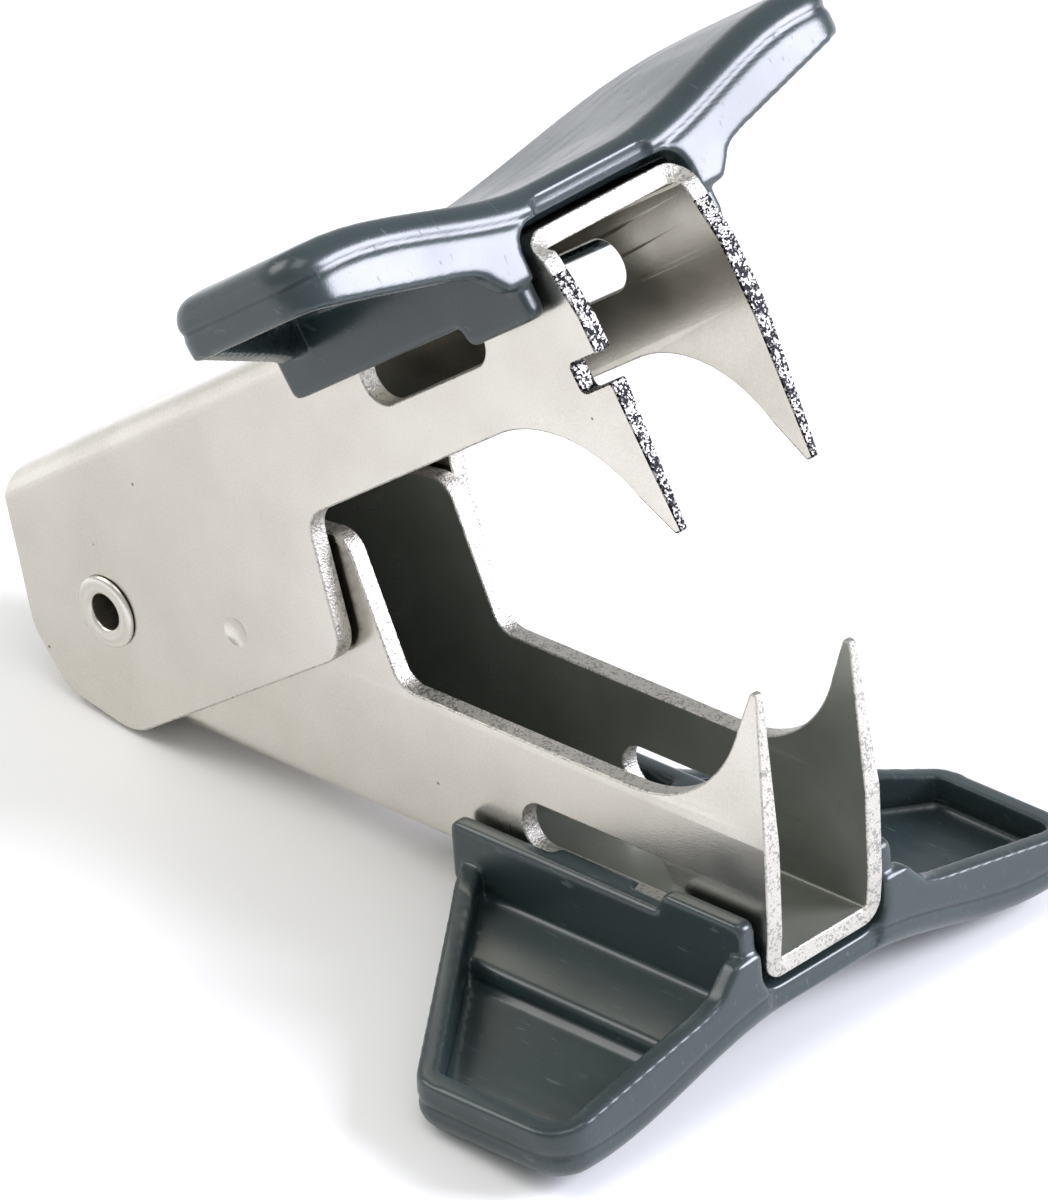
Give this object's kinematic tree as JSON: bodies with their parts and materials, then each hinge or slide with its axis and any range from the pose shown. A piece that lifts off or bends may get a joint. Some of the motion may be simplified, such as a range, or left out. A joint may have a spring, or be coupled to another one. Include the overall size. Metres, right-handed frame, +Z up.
{
  "type": "staple remover",
  "caption": "Open claw staple remover: two nested steel channels with pointed fangs on a sprung rivet, each under a winged plastic finger grip.",
  "frame": {"origin": "centre of the bounding box's base, on the table the remover stands on", "axes": "+X from the pivot towards the fangs, +Z up, +Y across the channels, from the notched fang to the plain one"},
  "size_m": [0.0586, 0.0424, 0.0498],
  "materials": {
    "outer_nickel": "satin nickel plate on sheet steel, bright sheared edges",
    "inner_nickel": "satin nickel plate on sheet steel, bright sheared edges",
    "upper_plastic": "moulded, charcoal, semi-gloss",
    "lower_plastic": "moulded, charcoal, semi-gloss",
    "rivet_steel": "rolled tubular rivet",
    "spring_steel": "drawn spring wire"
  },
  "bodies": {
    "lower": {"lower_jaw": "inner_nickel", "lower_grip": "lower_plastic", "pivot_rivet": "rivet_steel", "torsion_spring": "spring_steel"},
    "upper": {"upper_jaw": "outer_nickel", "upper_grip": "upper_plastic"}
  },
  "joints": [
    {"name": "jaw_pivot", "type": "hinge", "parent": "lower", "child": "upper", "pos_m": [-0.02092, 0, 0.00752], "axis": [0, 1, 0], "range_deg": [0, 24], "stiffness_Nm_per_rad": 0.12, "springref_deg": -28.65, "deforming": ["torsion_spring"]}
  ]
}
